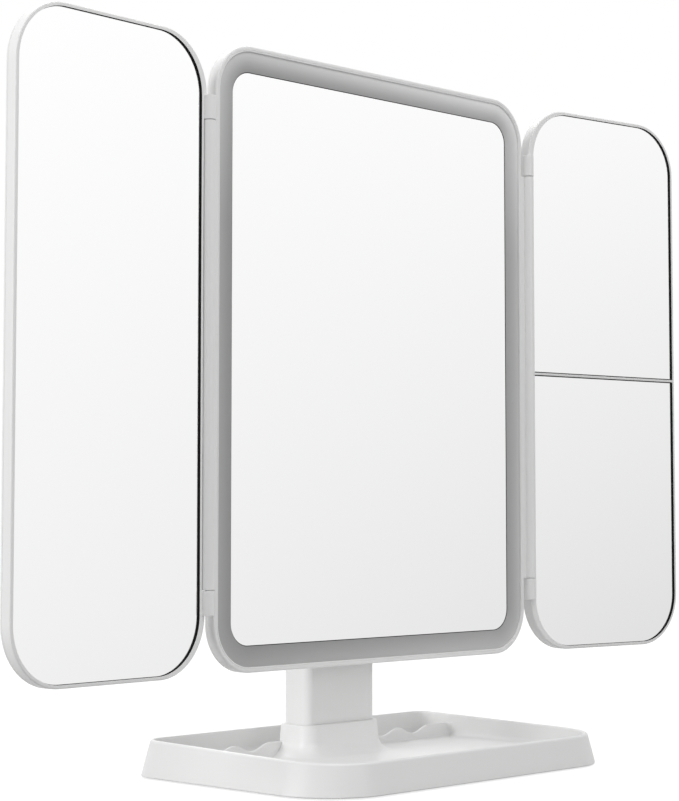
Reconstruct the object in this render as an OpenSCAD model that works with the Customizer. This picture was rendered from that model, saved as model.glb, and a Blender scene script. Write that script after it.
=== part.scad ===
// Trifold table-top vanity mirror with a lit centre panel, two folding wings and a tray base.
// Millimetres. +Z is up, the mirror faces -Y, the origin is under the middle of the base.

/* [Centre mirror] */
// Width of the centre housing
head_w = 221; // [205:1:240]
// Height of all three panels
head_h = 290; // [270:1:320]
// Corner radius of the centre housing
head_r = 23; // [20:0.5:27]
// Height of the middle of the panels above the table
head_z = 196.6; // [190:1:215]
// Depth of the front frame
frame_d = 5; // [4.6:0.1:5.4]
// Depth of the whole centre housing at its edge
edge_d = 6.8; // [6.6:0.1:7.4]
// Depth of the centre housing over its raised back
head_d = 18; // [17.5:0.5:20]
// Width of the rear cover's flat rim, from the housing's side to the slope of its raised back
rim_in = 3; // [2.5:0.1:3.5]
// Wall of the front frame and of the rear cover
shell_wall = 2.2; // [1.8:0.1:2.4]
// Width of the bezel round the light border
bezel_w = 2.6; // [2.5:0.1:3.2]
// Width of the frosted light border
border_w = 9.4; // [8:0.2:11]
// Height of the light border's crown
border_crown = 0.8; // [0.4:0.1:1]
// Rounding of the bezel's outer edge
bezel_round = 1; // [0.6:0.1:1.4]
// Width of the fine groove round the bezel
groove_w = 0.3; // [0.2:0.05:0.4]
// Rounding of the rear cover's edge
cover_round = 1.2; // [0.8:0.1:1.5]

/* [Mirror panes] */
// Thickness of the glass
glass_t = 2; // [1.6:0.1:2]
// How far the centre glass lies behind the bezel
glass_drop = 2.2; // [1.8:0.1:2.6]
// How far the wings' glass lies behind their frames
wing_glass_drop = 1; // [0.8:0.1:1.2]
// Thickness of the foam behind the centre glass
pad_t = 1; // [0.8:0.1:1.2]

/* [Wings] */
// Thickness of a wing
wing_t = 7; // [6.5:0.1:8]
// Thickness of a wing's back panel
wing_back_t = 2; // [1.6:0.1:2]
// Corner radius of a wing
wing_r = 27.5; // [22:0.5:32]
// Width of the frame on a wing's three free sides
wing_border = 1.5; // [1.3:0.1:2]
// Width of the frame beside the hinge
wing_hinge_border = 3.3; // [3:0.1:4]
// How far the left wing is folded forward of flat at rest
left_rest = 3.5; // [0:0.1:20]
// How far the right wing is folded forward of flat at rest
right_rest = 6.7; // [0:0.1:20]
// Gap that the closed wings leave between them
wing_gap = 0.4; // [0.3:0.1:1]
// Height of the bar between the right wing's two panes
bar_h = 1.6; // [1.2:0.1:3]
// Height of that bar's middle above the panels' middle
bar_z = 1.5; // [-20:0.5:20]

/* [Wing hinges] */
// Distance from the centre housing's side to the hinge axis
hinge_out = 4.4; // [4.2:0.1:6]
// Distance of the hinge axis in front of the bezel
hinge_front = 0.5; // [0.4:0.1:0.8]
// Radius of the round spine
spine_r = 2.9; // [2.5:0.1:3]
// Radius of the wings' end lugs
lug_r = 3; // [2.6:0.1:3.4]
// Height of a lug
lug_h = 11.2; // [9:0.2:14]
// Distance from a panel's end to its lug
lug_end = 27; // [24:1:34]
// Radius of the hinge pins
pin_r = 1; // [0.8:0.1:1.2]
// How deep a pin goes into the spine
pin_grip = 8; // [6:1:12]

/* [Tilt hinge] */
// Height of the tilt axis above the table
tilt_z = 150; // [130:1:165]
// Radius of the tilt axle
axle_r = 2.5; // [2:0.1:3]
// Width of the knuckle on the column
knuckle_w = 24; // [20:1:27]
// Thickness of a bracket ear
ear_t = 9; // [8.4:0.2:10]
// Radius of a bracket ear
ear_r = 9; // [8:0.2:9.4]
// Thickness of a friction washer
washer_t = 0.8; // [0.6:0.1:1.2]
// Width of the bracket's plate
plate_w = 64; // [60:1:76]
// Height of the bracket's plate
plate_h = 42; // [36:1:52]
// Thickness of the bracket's plate
plate_t = 3; // [2.5:0.1:4]

/* [Column] */
// Width of the column
col_w = 47.8; // [46:0.5:56]
// Depth of the column
col_d = 18.4; // [17:0.2:22]
// Corner radius of the column
col_r = 4; // [3:0.5:6]
// Distance of the column's middle behind the bezel
col_y = 35.4; // [34:0.2:38]
// Wall of the column
col_wall = 2.2; // [1.8:0.1:2.6]

/* [Tray] */
// Width of the tray's rim
tray_w = 198.5; // [185:0.5:220]
// Depth of the tray's rim
tray_d = 125.7; // [120:0.5:145]
// Radius of the tray's front corners
tray_rf = 28; // [18:1:36]
// Radius of the tray's rear corners
tray_rb = 10; // [8:1:18]
// Height of the rim at the front
rim_front = 15.4; // [14.5:0.2:19]
// Height of the rim at the rear
rim_rear = 18; // [16:0.2:22]
// Outward lean of the walls, per millimetre of height
tray_lean = 0.26; // [0.1:0.02:0.32]
// Wall of the tray
tray_wall = 2.2; // [1.8:0.1:2.6]
// Height of the compartments' floor
floor_z = 6; // [5.6:0.1:6.6]
// Thickness of the floor
floor_t = 2; // [1.6:0.1:2.2]
// Height of the socket round the column
socket_z = 21.2; // [20:0.2:26]
// Width of the socket's rim round the column
socket_wall = 2.2; // [1.8:0.1:3]
// Radius of the hollow flare at the socket's foot
flare_r = 7; // [4:0.5:8]
// Radius of the cove between the tray's walls and floor
cove_r = 3.4; // [2:0.2:4]
// Distance of the dividers behind the middle of the tray
divider_y = 43; // [42:0.5:44]
// Thickness of a divider
divider_t = 1.8; // [1.4:0.1:2.4]
// Height of a divider's crests
divider_top = 12.9; // [12:0.1:14]
// Depth of the scallops in a divider
scallop_h = 3.4; // [2:0.2:4]
// Pitch of the scallops
scallop_pitch = 24; // [20:1:26]
// Distance of a divider's first scallop from the middle
scallop_first = 46; // [45:1:48]

/* [Base] */
// Radius of a foot
foot_r = 6; // [5:0.5:8]
// Height of the tray's lower edge above the table
foot_lift = 0.8; // [0.6:0.1:1]
// Thickness of the base cover
base_t = 1.5; // [1.4:0.1:1.7]
// Thickness of the steel ballast plate
ballast_t = 1.4; // [1:0.1:1.5]

/* [Light and controls] */
// Number of lamps along each long side
leds_tall = 18; // [8:1:24]
// Number of lamps along each short side
leds_wide = 12; // [6:1:16]
// Radius of the power button
button_r = 5; // [4:0.5:7]
// Travel of the power button
button_travel = 0.8; // [0.5:0.1:0.8]
// Distance of the button and the charging socket from the housing's right side
control_in = 46; // [44:0.5:50]
// Height of the button above the housing's lower edge
button_up = 56; // [48:1:64]
// Height of the charging socket above the housing's lower edge
usb_up = 32; // [28:1:36]
// Width of the charging socket
usb_w = 8.9; // [8.4:0.1:9.4]
// Height of the charging socket
usb_h = 3.2; // [3:0.1:3.4]

/* [Hidden] */
$fn = 64;

// Fits
run_fit = 0.05;     // radial clearance of a pin that turns
screw_fit = 0.02;   // radial clearance of a fixed screw or pin
slack = 0.3;        // clearance between pieces that are laid in
glue = 0.15;        // clearance round a pane
cut = 1;            // how far a cutting tool runs past the face it cuts

// Colours
shell_white = [0.93, 0.93, 0.93];
frosted = [0.78, 0.78, 0.78];
silver = [0.88, 0.9, 0.92];
steel = [0.6, 0.62, 0.64];
foam = [0.35, 0.35, 0.36];
board_green = [0.1, 0.4, 0.25];

// Depths in the head, counted back from the front of the bezel
diffuser_edge = border_crown + 0.1;          // depth of the light border's outer edge
diffuser_in = glass_drop - 0.3;              // depth of its inner edge, just proud of the glass
diffuser_back = glass_drop + 0.9;
pad_y = glass_drop + glass_t;                // front of the foam
light_y = pad_y + pad_t;                     // front of the light frame
light_t = 2;
light_back = light_y + light_t;
cover_y = frame_d;                           // parting plane of the housing
back_y = head_d;                             // back of the housing
cover_in = back_y - shell_wall;              // inside of the rear cover's back
flat_in = rim_in + head_d - edge_d;          // from the housing's side to the flat of its back
plate_in = rim_in + 3.8;                     // from the housing's side to the light frame
edge_w = bezel_w + border_w;                 // from the housing's side to the centre glass
led_pcb_t = 0.4;
led_w = 3;
led_in = plate_in + led_w / 2 + 0.1;         // from the housing's side to the middle of the strip
post_y = light_back + 2.8;                   // where the light frame's posts meet the rear cover's
post_r = 3.5;
post_gap = 0.2;                              // between a post and what stands on it

// Screws
screw_r = 1.2;
screw_head_r = 2.6;
screw_head_h = 1.5;
screw_hole_r = 1.5;

// Places in the head, measured in its own plane from its middle
screw_in = flat_in + 5;
head_screw_at = [for (x = [-1, 1], y = [-1, 0, 1])
                 [x * (head_w / 2 - screw_in), y * (head_h / 2 - screw_in)]];
board_w = 40;
board_h = 58;
board_t = 1.6;
lip_gap = 0.2;                               // between the front frame and the cover's locating lip
lip_t = 1.2;
board_up = flat_in + 4;
board_y = post_y - 0.1;                      // front of the control board
control_x = head_w / 2 - control_in;
board_at = [control_x, -head_h / 2 + board_up + board_h / 2];
board_post_at = [for (s = [-1, 1]) board_at + [s * (board_w / 2 - 4), s * (board_h / 2 - 6)]];
button_at = [control_x, -head_h / 2 + button_up];
usb_at = [control_x, -head_h / 2 + usb_up];
usb_y = board_y + board_t + 0.05;            // front of the charging socket
usb_len = back_y - 0.3 - usb_y;
battery_w = 64;
battery_h = 44;
battery_t = 5.5;
tab_w = 24;                                  // width of the battery's tab
battery_at = [screw_in + battery_w / 2 + 18.5 - head_w / 2, screw_in + battery_h / 2 + 10 - head_h / 2];

// Wings
hinge_x = head_w / 2 + hinge_out;
wing_in = 1;                                 // from the hinge axis to a wing's inner edge
wing_w = head_w / 2 + hinge_out - wing_in - wing_gap / 2;
wing_frame_d = wing_t - wing_back_t;
notch_r = spine_r + 0.35;
parting = 0.3;                               // gap between a lug and the spine
lug_top = head_h / 2 - lug_end;
lug_low = lug_top - lug_h;
spine_half = lug_low - parting;
pane_w = wing_w - wing_border - wing_hinge_border;
pane_h = head_h - 2 * wing_border;
pane_x = wing_in + wing_hinge_border + pane_w / 2;
pane_r = wing_r - wing_border;
ledge_w = 2.5;
pane_back = wing_glass_drop + glass_t;
lug_web = wing_in + 1.2;

// Tilt hinge
column_top = tilt_z - ear_r - 2;
knuckle_r = col_d / 2;
ear_in = knuckle_w / 2 + washer_t;
ear_out = ear_in + ear_t;
recess_r = 5.5;
recess_d = 4;
axle_head_r = 4.2;
axle_head_h = 2.2;
cap_t = 1.5;
plate_hole = [plate_w / 2 - 6, plate_h / 2 - 6];
bracket_screw_at = [for (x = [-1, 1], y = [-1, 1]) [x * plate_hole[0], tilt_z - head_z + y * plate_hole[1]]];

// Tray
rim_mid = (rim_front + rim_rear) / 2;
rim_slope = atan((rim_rear - rim_front) / tray_d);
pocket_fit = 0.2;
col_screw_x = 14;
col_boss_r = 4;
socket_draft = 0.08;
base_z = foot_lift;
cover_top = base_z + base_t;
ballast_z = cover_top + 0.2;
well_top = floor_z - floor_t;                // roof of the space under the tray's floor
foot_at = [for (x = [-1, 1], y = [-1, 1]) [x * (tray_w / 2 - 24), y * (tray_d / 2 - 18)]];
cover_screw_at = [for (x = [-1, 1], y = [-1, 1]) [x * (tray_w / 2 - 42), y * (tray_d / 2 - 14)]];
under_in = tray_wall + 1;                    // from the tray's lower edge to the space under it
divider_end = tray_w / 2 - tray_wall;

// ---------- shared shapes ----------

// Rounded rectangle
module rrect(w, h, r) {
  square([w, h - 2 * r], center = true);
  square([w - 2 * r, h], center = true);
  for (x = [-1, 1], y = [-1, 1]) translate([x * (w / 2 - r), y * (h / 2 - r)]) circle(r);
}

// Rounded plate whose front lies at depth y0 behind the panel's front
module plate(w, h, r, y0, t) {
  translate([0, 0, -y0 - t]) linear_extrude(t) rrect(w, h, r);
}

// Carries a section round a rounded rectangle: the section's x runs inwards, its y forwards
module loop(w, h, r) {
  for (q = [0:3]) {
    half = q % 2 == 0 ? w / 2 : h / 2;
    run = q % 2 == 0 ? h - 2 * r : w - 2 * r;
    rotate([0, 0, 90 * q]) translate([half, run / 2, 0])
      rotate([90, 0, 0]) linear_extrude(run) mirror([1, 0]) children();
    corner = [(q == 0 || q == 3 ? 1 : -1) * (w / 2 - r), (q < 2 ? 1 : -1) * (h / 2 - r)];
    translate(corner) rotate([0, 0, 90 * q]) rotate_extrude(angle = 90)
      translate([r, 0]) mirror([1, 0]) children();
  }
}

// Plan of the tray: larger corners in front than behind
module tray_plan(w, d, rf, rb) {
  translate([-w / 2, -d / 2 + rf]) square([w, d - rf - rb]);
  translate([-w / 2 + rf, -d / 2]) square([w - 2 * rf, rf]);
  translate([-w / 2 + rb, d / 2 - rb]) square([w - 2 * rb, rb]);
  for (x = [-1, 1]) {
    translate([x * (w / 2 - rf), -d / 2 + rf]) circle(rf);
    translate([x * (w / 2 - rb), d / 2 - rb]) circle(rb);
  }
}

// Carries a section round the tray's plan: the section's x runs inwards, its y upwards
module around_tray() {
  for (side = [-1, 1]) mirror([side < 0 ? 1 : 0, 0, 0]) {
    translate([tray_w / 2, tray_d / 2 - tray_rb, 0]) rotate([90, 0, 0])
      linear_extrude(tray_d - tray_rf - tray_rb) mirror([1, 0]) children();
    translate([0, -tray_d / 2, 0]) rotate([90, 0, 90])
      linear_extrude(tray_w / 2 - tray_rf) children();
    translate([tray_w / 2 - tray_rb, tray_d / 2, 0]) rotate([90, 0, -90])
      linear_extrude(tray_w / 2 - tray_rb) children();
    translate([tray_w / 2 - tray_rf, tray_rf - tray_d / 2, 0]) rotate([0, 0, -90])
      rotate_extrude(angle = 90) translate([tray_rf, 0]) mirror([1, 0]) children();
    translate([tray_w / 2 - tray_rb, tray_d / 2 - tray_rb, 0])
      rotate_extrude(angle = 90) translate([tray_rb, 0]) mirror([1, 0]) children();
  }
}

// The tray's plan at height z, moved in by a wall
module tray_at(z, inset) {
  grow = tray_lean * (rim_mid - z) - inset;
  translate([0, 0, z]) linear_extrude(0.01)
    tray_plan(tray_w + 2 * grow, tray_d + 2 * grow, tray_rf + grow, tray_rb + grow, $fn = 48);
}

// Pan-head screw, head towards +z, with its head's underside at z = 0
module screw(len, head_h = screw_head_h) {
  translate([0, 0, -len]) cylinder(h = len, r = screw_r);
  difference() {
    cylinder(h = head_h, r = screw_head_r);
    for (a = [0, 90]) rotate([0, 0, a]) translate([-1.5, -0.3, head_h / 2]) cube([3, 0.6, head_h]);
  }
}

// Puts a shape drawn in the panels' plane, with +z towards the viewer, on the head
module at_head() {
  translate([0, 0, head_z]) rotate([90, 0, 0]) children();
}

// The same for a wing, with the origin on its hinge axis and +x outwards
module at_wing(side) {
  mirror([side < 0 ? 1 : 0, 0, 0]) translate([hinge_x, -hinge_front, head_z])
    rotate([0, 0, side < 0 ? -left_rest : -right_rest]) rotate([90, 0, 0]) children();
}

// A shape drawn from a wing's front face
module wing_face() {
  translate([0, 0, -hinge_front]) children();
}

// ---------- stand ----------

// Height of a divider's edge: crests with two scallops between them
function divider_edge(x) =
  let (from = scallop_first - scallop_pitch / 2, to = from + 2 * scallop_pitch)
  x < from || x > to ? divider_top
  : divider_top - scallop_h / 2 * (1 - cos(360 * (x - from) / scallop_pitch));

module divider(side) {
  steps = 48;
  x0 = col_w / 2;
  points = [for (i = [0:steps]) let (x = x0 + (divider_end - x0) * i / steps) [side * x, divider_edge(x)]];
  translate([0, divider_y + divider_t / 2, 0]) rotate([90, 0, 0]) linear_extrude(divider_t)
    polygon(concat([[side * x0, floor_z - 1]], points, [[side * divider_end, floor_z - 1]]));
}

// Section of the column socket: a drafted collar with a hollow flare at its foot, x running inwards
module socket_section() {
  foot = socket_wall + socket_draft * (socket_z - floor_z);
  polygon([[0.5, floor_z - 0.5], [0.5, socket_z], [-socket_wall, socket_z], [-foot, floor_z - 0.5]]);
  difference() {
    translate([-foot - flare_r, floor_z - 0.5]) square([flare_r + 1, flare_r + 0.5]);
    translate([-foot - flare_r, floor_z + flare_r]) circle(flare_r);
  }
}

// Section of the cove at the foot of the tray's walls, x running inwards from the wall's upright plan
module cove_section() {
  foot = tray_wall - tray_lean * (rim_mid - floor_z);
  difference() {
    polygon([[foot - 0.5, floor_z - 0.5], [foot - 0.5 + tray_lean * cove_r, floor_z + cove_r],
             [foot + tray_lean * cove_r, floor_z + cove_r], [foot + cove_r, floor_z + 0.01],
             [foot + cove_r, floor_z - 0.5]]);
    translate([foot + cove_r, floor_z + cove_r]) circle(cove_r);
  }
}

module tray() color(shell_white) difference() {
  union() {
    difference() {
      hull() {
        tray_at(base_z, 0);
        tray_at(rim_rear + cut, 0);
      }
      hull() {
        tray_at(floor_z, tray_wall);
        tray_at(rim_rear + 2 * cut, tray_wall);
      }
      // space for the ballast and the cover
      translate([0, 0, base_z - cut]) linear_extrude(well_top - base_z + cut)
        tray_plan(tray_w - 2 * under_in, tray_d - 2 * under_in, tray_rf - under_in, tray_rb - under_in);
      // sloping rim
      translate([-tray_w, 0, rim_mid]) rotate([rim_slope, 0, 0]) translate([0, -tray_d, 0])
        cube([2 * tray_w, 2 * tray_d, rim_rear]);
    }
    around_tray() cove_section();
    for (side = [-1, 1]) divider(side);
    translate([0, col_y, 0]) loop(col_w, col_d, col_r) socket_section();
    for (p = cover_screw_at) translate([p[0], p[1], cover_top]) cylinder(h = floor_z - cover_top, r = post_r);
  }
  // pocket for the column
  translate([0, col_y, floor_z]) linear_extrude(socket_z)
    rrect(col_w + 2 * pocket_fit, col_d + 2 * pocket_fit, col_r + pocket_fit);
  for (x = [-1, 1]) translate([x * col_screw_x, col_y, 0]) cylinder(h = floor_z + cut, r = screw_hole_r);
  for (p = cover_screw_at) translate([p[0], p[1], 0])
    cylinder(h = floor_z - 0.8, r = screw_r + screw_fit);
}

module base_cover() color(shell_white) difference() {
  translate([0, 0, base_z]) linear_extrude(base_t)
    tray_plan(tray_w - 2 * under_in - 2 * slack, tray_d - 2 * under_in - 2 * slack,
              tray_rf - under_in - slack, tray_rb - under_in - slack);
  for (p = foot_at) translate([p[0], p[1], base_z - cut]) cylinder(h = cut + 0.6, r = foot_r + slack);
  for (p = cover_screw_at) translate([p[0], p[1], base_z - cut]) {
    cylinder(h = base_t + 2 * cut, r = screw_hole_r);
    cylinder(h = cut + base_t - 0.5, r = screw_head_r + slack);
  }
}

module ballast() color(steel) difference() {
  translate([0, 0, ballast_z]) linear_extrude(ballast_t)
    rrect(tray_w - 2 * under_in - 2 * tray_rb, tray_d - 2 * under_in - 6, tray_rb);
  for (x = [-1, 1]) translate([x * col_screw_x, col_y, 0]) cylinder(h = floor_z, r = screw_head_r + 1);
  for (p = cover_screw_at) translate([p[0], p[1], 0]) cylinder(h = floor_z, r = post_r + slack);
}

module feet() color([0.3, 0.3, 0.3]) for (p = foot_at) translate([p[0], p[1], 0]) {
  translate([0, 0, 0.3]) cylinder(h = base_z + 0.3, r = foot_r);
  cylinder(h = 0.3, r1 = foot_r - 0.3, r2 = foot_r);
}

module cover_screws() color(steel) for (p = cover_screw_at)
  translate([p[0], p[1], cover_top - 0.5]) mirror([0, 0, 1]) screw(floor_z - cover_top - 0.6, 0.9);

module column() color(shell_white) difference() {
  union() {
    difference() {
      translate([0, col_y, floor_z]) linear_extrude(column_top - floor_z) rrect(col_w, col_d, col_r);
      translate([0, col_y, floor_z - cut]) linear_extrude(column_top - floor_z - 3 + cut)
        rrect(col_w - 2 * col_wall, col_d - 2 * col_wall, col_r - col_wall + 0.5);
    }
    // screw bosses with their ribs
    for (x = [-1, 1]) translate([x * col_screw_x, col_y, floor_z]) {
      cylinder(h = 24, r = col_boss_r);
      translate([-0.8, -col_d / 2 + 1, 0]) cube([1.6, col_d - 2, 24]);
    }
    // knuckle
    translate([-knuckle_w / 2, col_y - knuckle_r, column_top - 3])
      cube([knuckle_w, col_d, tilt_z - column_top + 3]);
    translate([-knuckle_w / 2, col_y, tilt_z]) rotate([0, 90, 0]) cylinder(h = knuckle_w, r = knuckle_r);
  }
  translate([-knuckle_w, col_y, tilt_z]) rotate([0, 90, 0])
    cylinder(h = 2 * knuckle_w, r = axle_r + run_fit);
  for (x = [-1, 1]) translate([x * col_screw_x, col_y, floor_z - cut])
    cylinder(h = 20 + cut, r = screw_r + screw_fit);
}

module column_screws() color(steel) for (x = [-1, 1])
  translate([x * col_screw_x, col_y, well_top]) mirror([0, 0, 1]) screw(18, 1.4);

// ---------- tilt hinge ----------

module tilt_bracket() color(shell_white) difference() {
  union() {
    translate([0, back_y + plate_t, tilt_z]) rotate([90, 0, 0])
      linear_extrude(plate_t) rrect(plate_w, plate_h, 5);
    for (x = [-ear_out, ear_in]) {
      translate([x, back_y + plate_t - 0.5, tilt_z - ear_r])
        cube([ear_t, col_y - back_y - plate_t + 0.5, 2 * ear_r]);
      translate([x, col_y, tilt_z]) rotate([0, 90, 0]) cylinder(h = ear_t, r = ear_r);
    }
  }
  translate([-plate_w, col_y, tilt_z]) rotate([0, 90, 0]) cylinder(h = 2 * plate_w, r = axle_r + run_fit);
  for (x = [-ear_out - cut, ear_out - recess_d])
    translate([x, col_y, tilt_z]) rotate([0, 90, 0]) cylinder(h = recess_d + cut, r = recess_r);
  for (x = [-1, 1], z = [-1, 1])
    translate([x * plate_hole[0], back_y + plate_t + cut, tilt_z + z * plate_hole[1]]) rotate([90, 0, 0]) {
      cylinder(h = plate_t + 2 * cut, r = screw_hole_r);
      cylinder(h = cut + screw_head_h, r = screw_head_r + slack);
    }
}

module bracket_screws() color(steel) for (x = [-1, 1], z = [-1, 1])
  translate([x * plate_hole[0], back_y + plate_t - screw_head_h, tilt_z + z * plate_hole[1]])
    rotate([-90, 0, 0]) screw(plate_t - screw_head_h + 5);

module tilt_axle() color(steel) translate([0, col_y, tilt_z]) rotate([0, 90, 0]) {
  translate([0, 0, recess_d - ear_out]) cylinder(h = 2 * (ear_out - recess_d) + 2.4, r = axle_r);
  translate([0, 0, recess_d - ear_out - axle_head_h]) cylinder(h = axle_head_h, r = axle_head_r);
}

module axle_nut() color(steel)
  translate([ear_out - recess_d, col_y, tilt_z]) rotate([0, 90, 0]) difference() {
  cylinder(h = 2.4, r = 4.6, $fn = 6);
  translate([0, 0, -cut]) cylinder(h = 5, r = axle_r + screw_fit);
}

module friction_washers() color(steel) for (x = [knuckle_w / 2 + 0.02, -knuckle_w / 2 - washer_t])
  translate([x, col_y, tilt_z]) rotate([0, 90, 0]) difference() {
    cylinder(h = washer_t - 0.02, r = ear_r - 1.5);
    translate([0, 0, -cut]) cylinder(h = washer_t + 2 * cut, r = axle_r + run_fit);
  }

module axle_caps() color(shell_white) for (s = [-1, 1])
  translate([s * (ear_out - cap_t / 2), col_y, tilt_z]) rotate([0, 90, 0])
    cylinder(h = cap_t, r = recess_r - 0.05, center = true);

// ---------- head ----------

// Section of the front frame: rounded outer edge, wall and a grooved lip over the light border
module frame_section() difference() {
  union() {
    translate([bezel_round, -bezel_round]) circle(bezel_round);
    translate([0, -frame_d]) square([shell_wall, frame_d - bezel_round]);
    translate([bezel_round, -diffuser_edge]) square([bezel_w - bezel_round, diffuser_edge]);
  }
  translate([(bezel_round + bezel_w) / 2, 0]) rotate(45) square(groove_w / sqrt(2), center = true);
}

module front_frame() color(shell_white) at_head() difference() {
  union() {
    loop(head_w, head_h, head_r) frame_section();
    // hinge spines on their webs
    for (x = [-1, 1]) {
      translate([x * hinge_x, -spine_half, hinge_front]) rotate([-90, 0, 0])
        cylinder(h = 2 * spine_half, r = spine_r);
      translate([x > 0 ? head_w / 2 - 1 : -hinge_x, -spine_half, hinge_front - spine_r])
        cube([hinge_out + 1, 2 * spine_half, spine_r - hinge_front]);
    }
  }
  for (x = [-1, 1], y = [-1, 1])
    translate([x * hinge_x, y * (spine_half - pin_grip / 2 + cut / 2), hinge_front])
      rotate([90, 0, 0]) cylinder(h = pin_grip + cut, r = pin_r + screw_fit, center = true);
}

// Section of the light border: a low crown that falls towards the glass, with a flange under the bezel's lip
module diffuser_section() {
  outer = [bezel_w + slack, -diffuser_edge];
  inner = [edge_w, -diffuser_in];
  half = norm(inner - outer) / 2;
  crown_r = (half * half + border_crown * border_crown) / (2 * border_crown);
  polygon([outer, inner, [inner[0], -diffuser_back], [outer[0], -diffuser_back]]);
  translate(outer) rotate(atan2(inner[1] - outer[1], inner[0] - outer[0])) intersection() {
    translate([half, border_crown - crown_r]) circle(crown_r, $fn = 200);
    square([2 * half, 2 * border_crown]);
  }
  translate([shell_wall + slack / 2, -diffuser_back])
    square([bezel_w + slack - shell_wall, diffuser_back - diffuser_edge - 0.05]);
}

module diffuser() color(frosted) at_head() loop(head_w, head_h, head_r) diffuser_section();

module centre_mirror() color(silver) at_head()
  plate(head_w - 2 * edge_w - 2 * glue, head_h - 2 * edge_w - 2 * glue, head_r - edge_w - glue,
        glass_drop, glass_t);

module mirror_pad() color(foam) at_head()
  plate(head_w - 2 * edge_w - 8, head_h - 2 * edge_w - 8, head_r - edge_w - 4, pad_y, pad_t);

module light_frame() color(shell_white) at_head() difference() {
  union() {
    plate(head_w - 2 * plate_in, head_h - 2 * plate_in, head_r - plate_in, light_y, light_t);
    // rib that carries the light border's inner edge
    loop(head_w, head_h, head_r) translate([edge_w - 1.6, -light_y - 0.5])
      square([1.2, light_y + 0.5 - diffuser_back - 0.05]);
    for (p = head_screw_at) translate([p[0], p[1], post_gap - post_y])
      cylinder(h = post_y - light_y - 1, r = post_r);
    for (p = board_post_at) translate([p[0], p[1], -board_y])
      cylinder(h = board_y - light_y - 1, r = 2.5);
  }
  for (p = head_screw_at) translate([p[0], p[1], -post_y])
    cylinder(h = post_y - light_y - 0.6, r = screw_r + screw_fit);
}

module led_strip() at_head() {
  color([0.85, 0.85, 0.8]) loop(head_w, head_h, head_r)
    translate([led_in - led_w / 2, -light_y]) square([led_w, led_pcb_t]);
  color([0.95, 0.9, 0.6]) for (side = [-1, 1]) {
    for (i = [0:leds_tall - 1]) {
      y = (head_h - 2 * head_r) * ((i + 0.5) / leds_tall - 0.5);
      translate([side * (head_w / 2 - led_in) - 1.4, y - 1.75, led_pcb_t - light_y])
        cube([2.8, 3.5, 0.8]);
    }
    for (i = [0:leds_wide - 1]) {
      x = (head_w - 2 * head_r) * ((i + 0.5) / leds_wide - 0.5);
      translate([x - 1.75, side * (head_h / 2 - led_in) - 1.4, led_pcb_t - light_y])
        cube([3.5, 2.8, 0.8]);
    }
  }
}

// Section of the rear cover: flat rim with a rounded edge, then a slope up to the raised back
module cover_section() {
  skin = shell_wall * sqrt(2);               // the slope's wall, measured along the depth
  intersection() {
    translate([cover_round, cover_round - edge_d]) circle(cover_round);
    translate([0, -edge_d]) square(cover_round);
  }
  translate([0, cover_round - edge_d]) square([rim_in, edge_d - cover_y - cover_round]);
  translate([cover_round, -edge_d]) square([rim_in - cover_round + 0.5, edge_d - cover_y]);
  polygon([[rim_in, -edge_d], [flat_in, -back_y], [flat_in + 2, -back_y], [flat_in + 2, -cover_in],
           [rim_in + cover_in - edge_d + skin, -cover_in], [rim_in + skin - edge_d + cover_y, -cover_y],
           [rim_in, -cover_y]]);
}

module rear_cover() color(shell_white) at_head() difference() {
  union() {
    loop(head_w, head_h, head_r) cover_section();
    plate(head_w - 2 * flat_in - 2, head_h - 2 * flat_in - 2, head_r - flat_in - 1, cover_in, shell_wall);
    // locating lip inside the front frame
    loop(head_w, head_h, head_r) {
      translate([shell_wall + lip_gap, -cover_y - 1]) square([lip_t, 2.2]);
    }
    for (p = head_screw_at) translate([p[0], p[1], -cover_in - 0.5])
      cylinder(h = cover_in + 0.5 - post_y, r = post_r + 0.5);
    for (p = bracket_screw_at) translate([p[0], p[1], -cover_in - 0.5]) cylinder(h = 4.5, r = post_r);
  }
  for (p = head_screw_at) translate([p[0], p[1], -back_y - cut]) {
    cylinder(h = back_y - post_y + 2 * cut, r = screw_hole_r);
    cylinder(h = cut + 3, r = screw_head_r + slack);
  }
  for (p = bracket_screw_at) translate([p[0], p[1], -back_y - cut])
    cylinder(h = cut + shell_wall + 3.4, r = screw_r + screw_fit);
  // power button
  translate([button_at[0], button_at[1], -back_y - cut])
    cylinder(h = shell_wall + 2 * cut, r = button_r + slack);
  // charging socket
  translate([usb_at[0], usb_at[1], -back_y - cut]) linear_extrude(shell_wall + 2 * cut)
    rrect(usb_w + 2 * slack, usb_h + 2 * slack, usb_h / 2 + slack - 0.01);
}

module housing_screws() color(steel) at_head() for (p = head_screw_at)
  translate([p[0], p[1], 3 - back_y]) mirror([0, 0, 1]) screw(back_y - 3 - light_y - 1, 2);

module battery() color([0.45, 0.47, 0.5]) at_head()
  translate([battery_at[0], battery_at[1], -light_back - battery_t]) {
  linear_extrude(battery_t) rrect(battery_w, battery_h, 3);
  translate([battery_w / 2 - 2, -tab_w / 2, 2]) cube([5, tab_w, 1.5]);
}

module control_board() at_head() {
  color(board_green) translate([board_at[0], board_at[1], -board_y - board_t]) linear_extrude(board_t)
    rrect(board_w, board_h, 1.5);
  color([0.15, 0.15, 0.15]) {
    translate([button_at[0] - 3, button_at[1] - 3, -board_y - board_t - 1]) cube([6, 6, 1]);
    translate([button_at[0], button_at[1], -board_y - board_t - 1.4]) cylinder(h = 0.4, r = 1.7);
    translate([board_at[0] - 14, board_at[1] - 4, -board_y - board_t - 1.2]) cube([7, 7, 1.2]);
    translate([board_at[0] + 6, board_at[1] + 14, -board_y - board_t - 2.2]) cube([6, 6, 2.2]);
  }
}

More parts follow.
